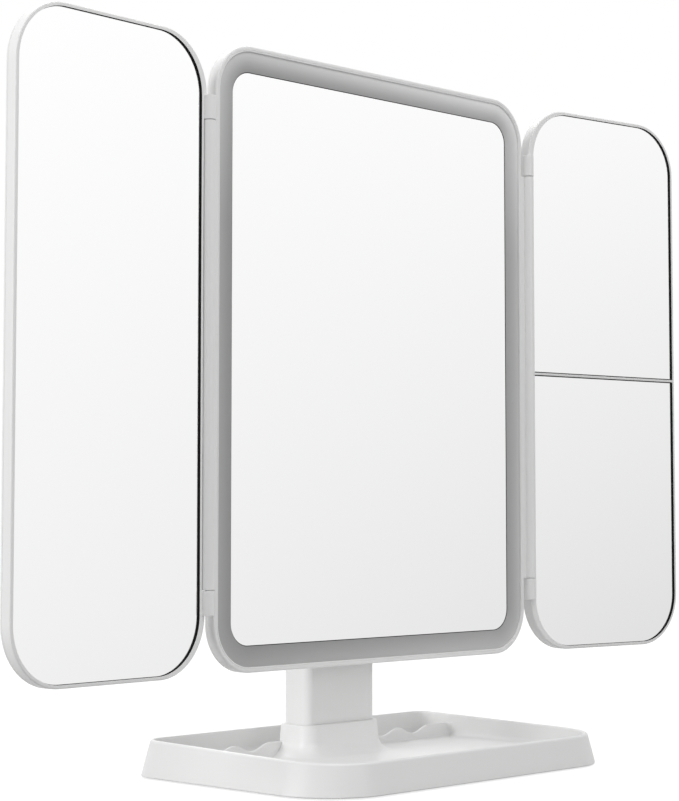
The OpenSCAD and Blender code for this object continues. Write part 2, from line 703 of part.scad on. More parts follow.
module usb_socket() color(steel) at_head() translate([usb_at[0], usb_at[1], -back_y + 0.3]) difference() {
  linear_extrude(usb_len) rrect(usb_w, usb_h, usb_h / 2 - 0.01);
  translate([0, 0, -cut]) linear_extrude(usb_len) rrect(usb_w - 0.7, usb_h - 0.7, usb_h / 2 - 0.4);
}

module power_button() color([0.8, 0.8, 0.8]) at_head() translate([button_at[0], button_at[1], 0]) {
  translate([0, 0, -back_y - 0.8 + 0.6]) cylinder(h = shell_wall + 0.8, r = button_r);
  translate([0, 0, -back_y - 0.8]) cylinder(h = 0.6, r1 = button_r - 0.6, r2 = button_r);
  translate([0, 0, slack - cover_in]) cylinder(h = 0.8, r = button_r + 1.2);
  translate([0, 0, slack - cover_in])
    cylinder(h = cover_in - board_y - board_t - 1.4 - button_travel - 2 * slack, r = 1.6);
}

// ---------- wing hinge pins ----------

module hinge_pins(side) color(steel) at_head() for (y = [-1, 1])
  translate([side * hinge_x, y * (spine_half - pin_grip + 0.5), hinge_front]) rotate([-90 * y, 0, 0])
    cylinder(h = pin_grip - 0.5 + parting + lug_h - 0.6, r = pin_r);

module left_hinge_pins() hinge_pins(-1);
module right_hinge_pins() hinge_pins(1);

// ---------- wings ----------

// Room that a wing leaves for the centre housing's spine
module spine_notch() {
  translate([0, -spine_half - parting, 0]) rotate([-90, 0, 0])
    cylinder(h = 2 * (spine_half + parting), r = notch_r);
}

module wing_frame(side) color(shell_white) at_wing(side) difference() {
  union() {
    wing_face() {
      translate([wing_in + wing_w / 2, 0, 0]) loop(wing_w, head_h, wing_r) {
        translate([bezel_round * 0.7, -bezel_round * 0.7]) circle(bezel_round * 0.7);
        translate([0, -wing_frame_d]) square([wing_border, wing_frame_d - bezel_round * 0.7]);
        translate([bezel_round * 0.7, -1.5]) square([wing_border - bezel_round * 0.7, 1.5]);
      }
      // border beside the hinge, and the ledge behind the glass
      difference() {
        translate([wing_in + wing_w / 2, 0, 0])
          plate(wing_w - 1.6, head_h - 1.6, wing_r - 0.8, 0, wing_frame_d);
        translate([pane_x, 0, 0]) plate(pane_w, pane_h, pane_r, -cut, pane_back + cut);
        translate([pane_x, 0, 0])
          plate(pane_w - 2 * ledge_w, pane_h - 2 * ledge_w, pane_r - ledge_w, -cut, wing_frame_d + 2 * cut);
      }
      if (side > 0) translate([pane_x - pane_w / 2 - 0.5, bar_z - bar_h / 2, -wing_frame_d])
        cube([pane_w + 1, bar_h, wing_frame_d - 0.2]);
      if (side > 0) translate([pane_x - pane_w / 2 - 0.5, bar_z - bar_h / 2 - ledge_w, -wing_frame_d])
        cube([pane_w + 1, bar_h + 2 * ledge_w, wing_frame_d - pane_back]);
    }
    for (y = [-1, 1]) translate([0, y > 0 ? lug_low : -lug_top, 0]) {
      rotate([-90, 0, 0]) cylinder(h = lug_h, r = lug_r);
      translate([0, 0, -lug_r]) cube([lug_web, lug_h, lug_r + 0.8]);
    }
  }
  spine_notch();
  for (y = [-1, 1]) translate([0, y > 0 ? lug_low - cut : -lug_top - cut, 0]) rotate([-90, 0, 0])
    cylinder(h = lug_h + 2 * cut, r = pin_r + run_fit);
}

module wing_back(side) color(shell_white) at_wing(side) difference() {
  wing_face() translate([wing_in + wing_w / 2, 0, 0]) {
    back_round = wing_back_t * 0.7;
    loop(wing_w, head_h, wing_r) intersection() {
      union() {
        translate([back_round, back_round - wing_t]) circle(back_round);
        translate([0, back_round - wing_t]) square([wing_r / 2, wing_back_t]);
        translate([back_round, -wing_t]) square([wing_r / 2, wing_back_t]);
      }
      translate([0, -wing_t]) square([wing_r / 2, wing_back_t]);
    }
    plate(wing_w - wing_r + 4, head_h - wing_r + 4, wing_r / 2, wing_frame_d, wing_back_t);
  }
  spine_notch();
  for (y = [-1, 1]) translate([0, y > 0 ? lug_low - cut : -lug_top - cut, 0]) rotate([-90, 0, 0])
    cylinder(h = lug_h + 2 * cut, r = lug_r + slack);
}

// A wing's pane between two heights
module wing_pane(side, low, high) color(silver) at_wing(side) wing_face() intersection() {
  translate([pane_x, 0, 0])
    plate(pane_w - 2 * glue, pane_h - 2 * glue, pane_r - glue, wing_glass_drop, glass_t);
  translate([0, low, -wing_t]) cube([2 * wing_w, high - low, wing_t]);
}

module wing_pad(side, low, high) color(foam) at_wing(side) wing_face() intersection() {
  translate([pane_x, 0, 0])
    plate(pane_w - 2 * ledge_w - 2 * slack, pane_h - 2 * ledge_w - 2 * slack, pane_r - ledge_w - slack,
          pane_back, wing_frame_d - pane_back);
  translate([0, low, -wing_t]) cube([2 * wing_w, high - low, wing_t]);
}

module left_wing_frame() wing_frame(-1);
module left_wing_back() wing_back(-1);
module left_mirror() wing_pane(-1, -head_h, head_h);
module left_mirror_pad() wing_pad(-1, -head_h, head_h);
module right_wing_frame() wing_frame(1);
module right_wing_back() wing_back(1);
module right_upper_mirror() wing_pane(1, bar_z + bar_h / 2 + glue, head_h);
module right_lower_mirror() wing_pane(1, -head_h, bar_z - bar_h / 2 - glue);
module right_mirror_pads() {
  wing_pad(1, bar_z + bar_h / 2 + ledge_w + slack, head_h);
  wing_pad(1, -head_h, bar_z - bar_h / 2 - ledge_w - slack);
}

tray();
base_cover();
ballast();
feet();
cover_screws();
column();
column_screws();
tilt_bracket();
bracket_screws();
tilt_axle();
axle_nut();
friction_washers();
axle_caps();
front_frame();
diffuser();
centre_mirror();
mirror_pad();
light_frame();
led_strip();
rear_cover();
housing_screws();
battery();
control_board();
usb_socket();
power_button();
left_hinge_pins();
right_hinge_pins();
left_wing_frame();
left_wing_back();
left_mirror();
left_mirror_pad();
right_wing_frame();
right_wing_back();
right_upper_mirror();
right_lower_mirror();
right_mirror_pads();
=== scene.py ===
"""Dresses the trifold vanity mirror: panes, light border, moulded tray and hinges over the CAD part."""

import logging
import math
from collections.abc import Iterable
from dataclasses import dataclass
from enum import Enum
from functools import cache

import bmesh
import bpy
import numpy as np
from mathutils import Matrix, Vector
from mathutils.geometry import tessellate_polygon

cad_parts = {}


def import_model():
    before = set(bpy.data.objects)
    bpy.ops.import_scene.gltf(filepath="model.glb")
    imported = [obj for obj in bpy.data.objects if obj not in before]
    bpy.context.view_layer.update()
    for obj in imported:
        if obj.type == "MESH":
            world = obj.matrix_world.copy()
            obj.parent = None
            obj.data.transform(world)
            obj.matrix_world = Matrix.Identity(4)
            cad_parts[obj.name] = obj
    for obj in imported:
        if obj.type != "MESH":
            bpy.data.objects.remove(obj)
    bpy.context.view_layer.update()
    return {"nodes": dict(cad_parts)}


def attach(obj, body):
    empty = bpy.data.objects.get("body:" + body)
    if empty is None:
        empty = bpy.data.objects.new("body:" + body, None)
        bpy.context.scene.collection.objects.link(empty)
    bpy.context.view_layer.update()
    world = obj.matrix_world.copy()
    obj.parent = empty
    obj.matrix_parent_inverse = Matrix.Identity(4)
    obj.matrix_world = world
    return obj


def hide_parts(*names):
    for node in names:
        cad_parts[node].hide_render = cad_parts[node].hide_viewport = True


LOG = logging.getLogger("vanity_mirror")
MM = 0.001
WELD = 0.002 * MM
CAD_WELD = 0.003 * MM

# Orders of a bar's coordinates that stand it upright and that lay it across.
UPRIGHT = [0, 2, 1]
ACROSS = [2, 0, 1]

Pair = tuple[float, float]
Triple = tuple[float, float, float]
Quad = tuple[float, float, float, float]
Inputs = dict[str | int, object]
Array = np.ndarray
Socket = bpy.types.NodeSocket


class Side(Enum):
    """The side of the centre mirror that a wing hangs on."""

    LEFT = -1
    RIGHT = 1


def placed(name: str, data: bpy.types.ID) -> bpy.types.Object:
    """Puts an object in the scene.

    Args:
        name: Its name.
        data: Its mesh, light or camera.

    Returns:
        The object.
    """
    piece = bpy.data.objects.new(name, data)
    bpy.context.scene.collection.objects.link(piece)
    return piece


# ---------- finishes ----------


def configure(target: object, **settings: object) -> None:
    """Sets a Blender object's own settings."""
    for name, value in settings.items():
        setattr(target, name, value)


@dataclass(frozen=True)
class Bench:
    """Adds shader nodes to a tree, each with its inputs filled."""

    tree: bpy.types.NodeTree

    def fill(self, node: bpy.types.Node, inputs: Inputs) -> None:
        """Fills a node's inputs.

        Args:
            node: The node.
            inputs: By name or number, the sockets to link and the plain values to set.
        """
        for key, source in inputs.items():
            if isinstance(source, Socket):
                self.tree.links.new(source, node.inputs[key])
            else:
                node.inputs[key].default_value = source

    def add(self, kind: str, inputs: Inputs | None = None, **settings: str) -> bpy.types.Node:
        """Adds a node.

        Args:
            kind: Its type, without the leading ShaderNode.
            inputs: What fills its inputs.
            settings: Its own settings.

        Returns:
            The node.
        """
        node = self.tree.nodes.new(f"ShaderNode{kind}")
        configure(node, **settings)
        self.fill(node, inputs or {})
        return node

    def carry(self, value: Socket, span: Pair, target: tuple[object, object]) -> Socket:
        """Carries a value from a span to a target range of numbers or sockets, and holds it at both ends."""
        ends = {"From Min": span[0], "From Max": span[1], "To Min": target[0], "To Max": target[1]}
        return self.add("MapRange", {"Value": value, **ends}).outputs["Result"]

    def noise(self, place: Socket, scale: float, detail: float) -> Socket:
        """Noise on these coordinates, with so many cells to a metre and so many octaves."""
        inputs = {"Vector": place, "Scale": scale, "Detail": detail, "Roughness": 0.55}
        return self.add("TexNoise", inputs).outputs["Fac"]

    def blend(self, share: Socket, colours: Iterable[Triple], span: Pair) -> Socket:
        """Blends two colours.

        Args:
            share: How far along the blend.
            colours: The first and the last colour.
            span: The shares at which they are reached.

        Returns:
            The socket with the colour.
        """
        ramp = self.add("ValToRGB", {"Fac": share})
        for element, colour, place in zip(ramp.color_ramp.elements, colours, span):
            element.color = (*colour, 1)
            element.position = place
        return ramp.outputs["Color"]


@dataclass(frozen=True)
class Finish:
    """A material with fine variation in its colour, roughness and bump, worked out from Object coordinates.

    Its slot, meant as the record's material slot for the pieces dressed in it, is not used. pattern_scale is
    in cells per metre, and stretch draws the pattern out along x, y and z.
    """

    name: str
    colour: Triple
    roughness: float
    slot: str = ""
    metallic: float = 0.0
    specular: float = 0.5
    colour_spread: float = 0.012
    roughness_spread: float = 0.05
    bump_depth: float = 0.02
    pattern_scale: float = 900.0
    stretch: Triple = (1, 1, 1)
    noise_span: Pair = (0.3, 0.7)

    @cache
    def material(self) -> bpy.types.Material:
        """Makes the material round a Principled shader, once for each finish.

        Returns:
            The material.
        """
        material = bpy.data.materials.new(self.name)
        material.use_nodes = True
        bench = Bench(material.node_tree)
        shader = material.node_tree.nodes["Principled BSDF"]
        position = bench.add("TexCoord").outputs["Object"]
        place = bench.add("Mapping", {"Vector": position, "Scale": self.stretch}).outputs["Vector"]
        bench.fill(shader, {"Metallic": self.metallic, "Specular IOR Level": self.specular})
        bench.fill(shader, {"Base Color": self._tint(bench, place), "Roughness": self._polish(bench, place)})
        if self.bump_depth:
            bench.fill(shader, {"Normal": self._relief(bench, place)})
        material.diffuse_color = (*self.colour, 1.0)
        return material

    def dress(self, piece: bpy.types.Object, body: str, *nodes: str) -> None:
        """Gives a piece this finish and its place in the record.

        Args:
            piece: The piece.
            body: The CAD body that carries it.
            nodes: The CAD nodes that it stands for.
        """
        piece.data.materials.clear()
        piece.data.materials.append(self.material())
        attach(piece, body)
        if nodes:
            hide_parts(*nodes)
        LOG.info("%s on %s", piece.name, body)

    def _tint(self, bench: Bench, place: Socket) -> Socket:
        """Lets the colour drift a little from place to place, as a moulding's flow does.

        Args:
            bench: Adds the nodes.
            place: The coordinates.

        Returns:
            The socket with the colour.
        """
        drifts = (1 - self.colour_spread, 1 + self.colour_spread)
        ends = [tuple(min(level * drift, 1) for level in self.colour) for drift in drifts]
        return bench.blend(bench.noise(place, self.pattern_scale * 0.03, 3.0), ends, self.noise_span)

    def _polish(self, bench: Bench, place: Socket) -> Socket:
        """Varies the roughness as handling and mould polish do."""
        ends = (max(self.roughness - self.roughness_spread, 0.0), self.roughness + self.roughness_spread)
        return bench.carry(bench.noise(place, self.pattern_scale * 0.08, 4.0), self.noise_span, ends)

    def _relief(self, bench: Bench, place: Socket) -> Socket:
        """Adds the fine texture of the surface as bump."""
        height = {"Height": bench.noise(place, self.pattern_scale, 3.0), "Distance": 0.2 * MM}
        return bench.add("Bump", {"Strength": self.bump_depth, **height}).outputs["Normal"]


@dataclass(frozen=True)
class FrostedBorder(Finish):
    """Frosted plastic with painted shade that darkens it towards the glass, by the piece's own across
    attribute.

    The sideways and the upwards setting each give a first and last place in metres, then the gain on the
    colour at
    both: painted shade on the left, painted light on the right and painted light towards the top.
    """

    # Painted shade: the colour that the border darkens to at the glass.
    painted_shade_at_glass: Triple = (0.34, 0.34, 0.34)
    painted_side_light: Quad = (-0.11, 0.11, 0.8, 1.12)
    painted_top_light: Quad = (0.26, 0.335, 0.97, 1.42)

    def _tint(self, bench: Bench, place: Socket) -> Socket:
        """Paints shade across the border, darker towards the glass, then painted light and shade sideways and
        upwards over the panel.

        Args:
            bench: Adds the nodes.
            place: The coordinates.

        Returns:
            The socket with the colour.
        """
        across = bench.add("Attribute", attribute_name="across").outputs["Fac"]
        # Painted shade across the border, from the bezel to the glass.
        colour = bench.blend(across, (self.colour, self.painted_shade_at_glass), (0, 1))
        spot = bench.add("SeparateXYZ", {"Vector": place}).outputs
        # Painted light and shade: darker on the left, lighter on the right and towards the top.
        for axis, (low, high, start, end) in (("X", self.painted_side_light), ("Z", self.painted_top_light)):
            gain = bench.carry(spot[axis], (low, high), (start, end))
            colour = bench.add("VectorMath", {0: colour, "Scale": gain}, operation="SCALE").outputs["Vector"]
        return colour


@dataclass(frozen=True)
class SilveredGlass(Finish):
    """Silvered glass with a painted reflection in its colour: darker down each pane, and from the left wing
    across to the right one.
    """

    half_width: float = 0.23
    heights: Pair = (0.055, 0.335)
    # Painted reflection: the silver's tone from the left side to the right, at the foot and at the top.
    at_foot: Pair = (0.875, 0.745)
    at_top: Pair = (1.0, 0.94)

    def _tint(self, bench: Bench, place: Socket) -> Socket:
        """Paints the reflection's tone into the silver by place across the mirror, at its foot and at its
        top, and then by height.

        Args:
            bench: Adds the nodes.
            place: The coordinates.

        Returns:
            The socket with the colour.
        """
        spot = bench.add("SeparateXYZ", {"Vector": place}).outputs
        sides = (-self.half_width, self.half_width)
        ends = tuple(bench.carry(spot["X"], sides, levels) for levels in (self.at_foot, self.at_top))
        tone = bench.carry(spot["Z"], self.heights, ends)
        return bench.add("CombineColor", {"Red": tone, "Green": tone, "Blue": tone}).outputs["Color"]


WHITE_PLASTIC = Finish(
    "white moulded plastic",
    (0.87, 0.87, 0.867),
    0.36,
    "white_plastic",
    specular=0.35,
    colour_spread=0.0015,
    roughness_spread=0.02,
    bump_depth=0.004,
)
SATIN_PLASTIC = Finish(
    "satin moulded plastic", (0.84, 0.84, 0.835), 0.46, "white_plastic", colour_spread=0.003, bump_depth=0.03
)
# Frosted border with painted shade towards the glass, and painted light towards the top and the right.
FROSTED_PLASTIC = FrostedBorder(
    "frosted light border", (0.6, 0.6, 0.6), 0.42, "frosted_plastic", bump_depth=0.03, pattern_scale=1500
)
# Mirror glass with a painted reflection that darkens it towards the foot and towards the right.
MIRROR_GLASS = SilveredGlass(
    "silvered glass", (0.99, 0.99, 0.99), 0.015, "mirror_glass", 1.0, roughness_spread=0.006, bump_depth=0.0
)
PANE_SEAL = Finish("dark pane seal", (0.006, 0.006, 0.006), 0.8, "grey_rubber", specular=0.15)
PLATED_STEEL = Finish(
    "plated steel",
    (0.62, 0.63, 0.65),
    0.28,
    metallic=1.0,
    bump_depth=0.04,
    pattern_scale=2500,
    stretch=(1, 1, 0.04),
)
GREY_RUBBER = Finish("grey rubber", (0.12, 0.12, 0.125), 0.75, bump_depth=0.12, pattern_scale=3000)
FOAM_PAD = Finish("foam pad", (0.1, 0.1, 0.105), 0.95, bump_depth=0.5, pattern_scale=4000)
SOLDER_MASK = Finish(
    "solder mask", (0.03, 0.16, 0.07), 0.35, colour_spread=0.12, bump_depth=0.06, pattern_scale=700
)
LAMP_STRIP = Finish("lamp strip", (0.78, 0.75, 0.62), 0.4, colour_spread=0.03)
CELL_WRAP = Finish("cell wrap", (0.4, 0.42, 0.46), 0.35, metallic=0.4, bump_depth=0.08, pattern_scale=400)


# ---------- outlines and skins ----------


@dataclass(frozen=True)
class Outline:
    """A closed path in a plane with its outward normals, both of shape (n, 2), run anticlockwise."""

    points: Array
    normals: Array

    def row(self, out: float | Array, level: float | Array) -> Array:
        """The path carried outwards along its normals, at a level over its plane.

        Args:
            out: How far outwards, in millimetres: one number, or one for each point.
            level: The height over the plane, in the same way.

        Returns:
            Points of shape (n, 3).
        """
        count = len(self.points)
        moved = self.points + self.normals * np.broadcast_to(out, count)[:, None]
        return np.column_stack([moved, np.broadcast_to(level, count)])

    def shifted(self, up: float) -> "Outline":
        """The path moved up in its plane."""
        return Outline(self.points + [0, up], self.normals)

    def swept(self, profile: list[Pair]) -> Array:
        """A profile of pairs, how far inside the path and at what level, carried round it as a grid."""
        return np.stack([self.row(-inset, level) for inset, level in profile])

    def bar(self, ends: Pair, edge: float, steps: int = 3) -> Array:
        """A bar of this section between two levels, with end edges rounded in so many steps."""
        profile = arc((edge, ends[0] + edge), edge, 270, 180, steps)
        return self.swept(profile + arc((edge, ends[1] - edge), edge, 180, 90, steps))


def rounded_outline(
    low: Pair, high: Pair, radii: float | Quad, steps: int = 28, breaks: tuple[float, ...] = ()
) -> Outline:
    """A rectangle with arcs of even angle at its corners.

    Args:
        low: Its lower left corner.
        high: Its upper right corner.
        radii: One radius, or those at the upper right, upper left, lower left and lower right corner.
        steps: Segments in each arc.
        breaks: Heights in rising order at which both upright sides get a point.

    Returns:
        The outline, from the right side's upper end.
    """
    corners = [high, (low[0], high[1]), low, (high[0], low[1])]
    inward = [(-1, -1), (1, -1), (1, 1), (-1, 1)]
    points, normals = [], []
    for index, (corner, sense, radius) in enumerate(zip(corners, inward, np.broadcast_to(radii, 4))):
        turn = np.linspace(0, math.pi / 2, steps + 1) + index * math.pi / 2
        ring = np.stack([np.cos(turn), np.sin(turn)], axis=1)
        points.append(np.array(corner) + np.array(sense) * radius + ring * radius)
        normals.append(ring)
        if breaks and index in (1, 3):
            side, outward, heights = (low[0], -1.0, breaks[::-1]) if index == 1 else (high[0], 1.0, breaks)
            points.append(np.array([(side, height) for height in heights]))
            normals.append(np.array([(outward, 0.0)] * len(heights)))
    return Outline(np.concatenate(points), np.concatenate(normals))


def centred_outline(width: float, height: float, radii: float | Quad, steps: int = 28) -> Outline:
    """A rounded rectangle about the origin."""
    return rounded_outline((-width / 2, -height / 2), (width / 2, height / 2), radii, steps)


def circle(centre: Pair, radius: float, steps: int = 48) -> Outline:
    """A circle of so many segments."""
    turn = np.linspace(0, 2 * math.pi, steps, endpoint=False)
    ring = np.stack([np.cos(turn), np.sin(turn)], axis=1)
    return Outline(ring * radius + centre, ring)


def arc(centre: Pair, radius: float, start: float, end: float, steps: int = 6) -> list[Pair]:
    """Points on an arc between two angles in degrees: centre plus radius times cosine and sine."""
    turn = np.radians(np.linspace(start, end, steps + 1))
    return [(centre[0] + radius * math.cos(a), centre[1] + radius * math.sin(a)) for a in turn]


class Skin:
    """Gathers grids of points, in millimetres, into one closed mesh."""

    def __init__(self, rings: Iterable[Array] = (), bars: Iterable[Array] = ()) -> None:
        """Takes in the first grids.

        Args:
            rings: Grids for add_ring.
            bars: Grids for add_bar, which it caps.
        """
        self._points: list[Array] = []
        self._faces: list[tuple[int, ...]] = []
        self._count = 0
        for grid in rings:
            self.add_ring(grid)
        for grid in bars:
            self.add_bar(grid)

    def add_ring(self, grid: Array) -> None:
        """Adds a grid that closes on itself along its rows and its columns."""
        number = self._number(grid)
        self._add_cells(number, np.roll(number, -1, axis=0))

    def add_bar(self, grid: Array, capped: bool = True) -> None:
        """Adds a grid whose columns close on themselves.

        Args:
            grid: The points.
            capped: Whether its first and last rows are filled with a face each.
        """
        number = self._number(grid)
        self._add_cells(number[:-1], number[1:])
        if capped:
            self._faces.append(tuple(number[0, ::-1].tolist()))
            self._faces.append(tuple(number[-1].tolist()))

    def _number(self, grid: Array) -> Array:
        """Takes in a grid of shape (rows, columns, 3).

        Args:
            grid: The points.

        Returns:
            Their numbers, of shape (rows, columns).
        """
        rows, columns = grid.shape[:2]
        number = np.arange(rows * columns).reshape(rows, columns) + self._count
        self._points.append(grid.reshape(-1, 3))
        self._count += rows * columns
        return number

    def _add_cells(self, below: Array, above: Array) -> None:
        """Adds a face for each cell of four neighbours between two sets of rows."""
        cells = np.stack([below, np.roll(below, -1, axis=1), np.roll(above, -1, axis=1), above], axis=-1)
        self._faces.extend(map(tuple, cells.reshape(-1, 4).tolist()))

    def add_pierced(self, rim: Array, holes: list[Array]) -> None:
        """Adds a flat face with holes in it, filled with triangles.

        Args:
            rim: The face's edge, of shape (n, 3).
            holes: The edge of each hole.
        """
        loops = [rim, *holes]
        triangles = tessellate_polygon([[Vector(point) for point in loop] for loop in loops])
        start = self._count
        self._points.extend(loops)
        self._count += sum(len(loop) for loop in loops)
        self._faces.extend(tuple(start + corner for corner in triangle) for triangle in triangles)

    def build(self, name: str, sharp_angle: float = 38.0) -> bpy.types.Object:
        """Makes the mesh object, with its faces turned outwards.

        Args:
            name: The piece's name.
            sharp_angle: Edges that turn by more than this, in degrees, stay sharp.

        Returns:
            The object, at the origin and in metres.
        """
        mesh = bpy.data.meshes.new(name)
        mesh.from_pydata((np.concatenate(self._points) * MM).tolist(), [], self._faces)
        mesh.update()
        work = bmesh.new()
        work.from_mesh(mesh)
        bmesh.ops.remove_doubles(work, verts=work.verts, dist=WELD)
        bmesh.ops.recalc_face_normals(work, faces=work.faces)
        work.to_mesh(mesh)
        work.free()
        return shaded(name, mesh, sharp_angle)


def shaded(name: str, mesh: bpy.types.Mesh, sharp_angle: float) -> bpy.types.Object:
    """Puts a mesh in the scene, shaded smooth across its small turns and flat on its flats.

    Args:
        name: The piece's name.
        mesh: Its mesh.
        sharp_angle: Edges that turn by more than this, in degrees, stay sharp.

    Returns:
        The object.
    """
    mesh.polygons.foreach_set("use_smooth", np.ones(len(mesh.polygons), dtype=bool))
    mesh.set_sharp_from_angle(angle=math.radians(sharp_angle))
    piece = placed(name, mesh)
    weighted = piece.modifiers.new("even shading", "WEIGHTED_NORMAL")
    configure(weighted, mode="FACE_AREA_WITH_ANGLE", keep_sharp=True)
    return piece


def glaze(name: str, body: str, node: str, pane: Array, seal: Array) -> None:
    """Builds and dresses a pane of glass and the dark seal round it, from their grids."""
    MIRROR_GLASS.dress(Skin(bars=[pane]).build(name), body, node)
    PANE_SEAL.dress(Skin([seal]).build(f"{name}_seal"), body)


# ---------- shared sizes ----------


@dataclass(frozen=True)
class Panel:
    """Sizes that the centre mirror, its cover and the wings share, in millimetres."""

    head_w: float = 221.0
    head_h: float = 290.0
    head_r: float = 23.0
    head_z: float = 196.6
    frame_d: float = 5.0
    shell_wall: float = 2.2
    glass_t: float = 2.0
    glue: float = 0.15
    joint: float = 0.15
    hinge_out: float = 4.4
    hinge_front: float = 0.5
    spine_r: float = 2.9
    spine_half: float = 106.5

    @property
    def hinge_x(self) -> float:
        """Distance of a hinge axis from the middle."""
        return self.head_w / 2 + self.hinge_out

    @property
    def rim(self) -> Outline:
        """The head's outline."""
        return centred_outline(self.head_w, self.head_h, self.head_r)

    def on_head(self, grid: Array) -> Array:
        """Carries points from the panel's plane (right, up, towards the viewer) to the object's frame."""
        return np.stack([grid[..., 0], -grid[..., 2], self.head_z + grid[..., 1]], axis=-1)

    def round_head(self, section: list[Pair]) -> Array:
        """A section carried round the head's outline, in the object's frame."""
        return self.on_head(self.rim.swept(section))

    def pane_section(self, inset: float, front: float) -> list[Pair]:
        """Section of a pane so far inside its outline, from its back round a ground edge to its face."""
        ground = 0.22
        return [(inset, front - self.glass_t), (inset, front - ground), (inset + ground, front)]


@dataclass(frozen=True)
class ColumnSection:
    """The column's section, which the tray's socket goes round, in millimetres."""

    width: float = 47.8
    depth: float = 18.4
    corner: float = 4.0
    middle_y: float = 35.4

    @property
    def plan(self) -> Outline:
        """The section's outline in its place over the tray."""
        return centred_outline(self.width, self.depth, self.corner, 16).shifted(self.middle_y)


# ---------- centre mirror ----------


@dataclass
class CentreMirror:
    """The lit centre panel: bezel with hinge spines, frosted border and glass."""

    panel: Panel = Panel()
    bezel_w: float = 2.6
    bezel_round: float = 1.0
    bezel_edge: float = 0.3
    groove_half: float = 0.15
    groove_depth: float = 0.22
    border_w: float = 9.4
    border_drop: float = 0.9
    border_crown: float = 0.8
    border_foot: float = 0.3
    border_under: float = 0.9
    border_step: float = 0.05
    glass_drop: float = 2.2
    slack: float = 0.3
    spine_edge: float = 0.25
    web_root: float = 1.0

    def build_frame(self) -> None:
        """Bezel: a rounded, grooved section round the head, and a round spine on a web at each side."""
        panel, nose, edge = self.panel, self.bezel_round, self.bezel_edge
        groove = (nose + self.bezel_w) / 2
        section = [(panel.shell_wall, -panel.frame_d), (panel.joint, -panel.frame_d)]
        section += [(0, panel.joint - panel.frame_d), (0, -nose)]
        section += arc((nose, -nose), nose, 180, 90, 7)[1:]
        section += [(groove - self.groove_half, 0), (groove, -self.groove_depth)]
        section += [(groove + self.groove_half, 0)]
        section += arc((self.bezel_w - edge, -edge), edge, 90, 0, 4)
        section += [(self.bezel_w, -self.border_drop), (panel.shell_wall, -self.border_drop)]
        hinges = [panel.on_head(part(side)) for side in Side for part in (self._spine, self._web)]
        skin = Skin([panel.round_head(section)], hinges)
        WHITE_PLASTIC.dress(skin.build("front_bezel"), "head", "front_frame")

    def _spine(self, side: Side) -> Array:
        """Round spine of a wing hinge, upright in the panel's plane."""
        section = circle((side.value * self.panel.hinge_x, self.panel.hinge_front), self.panel.spine_r)
        return section.bar((-self.panel.spine_half, self.panel.spine_half), self.spine_edge)[..., UPRIGHT]

    def _web(self, side: Side) -> Array:
        """Flat web that joins a spine to the head, upright in the panel's plane.

        Args:
            side: The hinge's side.

        Returns:
            A grid of points.
        """
        panel = self.panel
        low, high = sorted((side.value * (panel.head_w / 2 - self.web_root), side.value * panel.hinge_x))
        section = rounded_outline((low, panel.hinge_front - panel.spine_r), (high, 0), 0.05, 2)
        return section.swept([(0, -panel.spine_half), (0, panel.spine_half)])[..., UPRIGHT]

    def build_border(self) -> None:
        """Frosted light border: a low arched section, falling towards the glass, carried round the bezel."""
        outer = np.array([self.bezel_w + self.slack, -self.border_drop])
        inner = np.array([self.bezel_w + self.border_w, self.border_foot - self.glass_drop])
        across = inner - outer
        rise = np.array([-across[1], across[0]]) / np.linalg.norm(across) * self.border_crown
        run = np.linspace(0, 1, 17)[:, None]
        crown = outer + run * across + 4 * run * (1 - run) * rise
        back = -self.glass_drop - self.border_under
        ledge, step = self.panel.shell_wall + self.panel.joint, -self.border_drop - self.border_step
        section = [tuple(point) for point in crown]
        section += [(inner[0], back), (ledge, back), (ledge, step), (outer[0], step)]
        piece = Skin([self.panel.round_head(section)]).build("light_border", 50)
        self._mark_border(piece)
        FROSTED_PLASTIC.dress(piece, "head", "diffuser")

    def _mark_border(self, piece: bpy.types.Object) -> None:
        """Writes how far across the border each point lies, from 0 at the bezel to 1 at the glass, which sets
        where the
        painted shade falls: its distance inside the head's rounded outline, less the bezel's width, over the
        border's width.

        Args:
            piece: The light border.
        """
        panel = self.panel
        place = np.empty(len(piece.data.vertices) * 3)
        piece.data.vertices.foreach_get("co", place)
        place = place.reshape(-1, 3) / MM
        over = np.abs(np.stack([place[:, 0], place[:, 2] - panel.head_z], axis=1))
        over -= [panel.head_w / 2 - panel.head_r, panel.head_h / 2 - panel.head_r]
        out = np.linalg.norm(np.clip(over, 0, None), axis=1) + np.minimum(over.max(axis=1), 0)
        across = np.clip((panel.head_r - out - self.bezel_w) / self.border_w, 0, 1)
        layer = piece.data.attributes.new("across", "FLOAT", "POINT")
        layer.data.foreach_set("value", across.astype(np.float32))

    def build_glass(self) -> None:
        """Centre pane with a fine ground edge, and the dark seal in the joint round it."""
        panel, drop = self.panel, self.glass_drop
        edge = self.bezel_w + self.border_w
        near, far, proud, lower, deep = edge + 0.02, edge + 0.3, 0.12, 0.05, 0.5
        seal = [(near, proud - drop), (far, lower - drop), (far, -drop), (near, -drop - deep)]
        pane, seal = map(panel.round_head, (panel.pane_section(edge + panel.glue, -drop), seal))
        glaze("centre_pane", "head", "centre_mirror", pane, seal)

    def build(self) -> None:
        """Builds and dresses the whole panel front."""
        self.build_frame()
        self.build_border()
        self.build_glass()


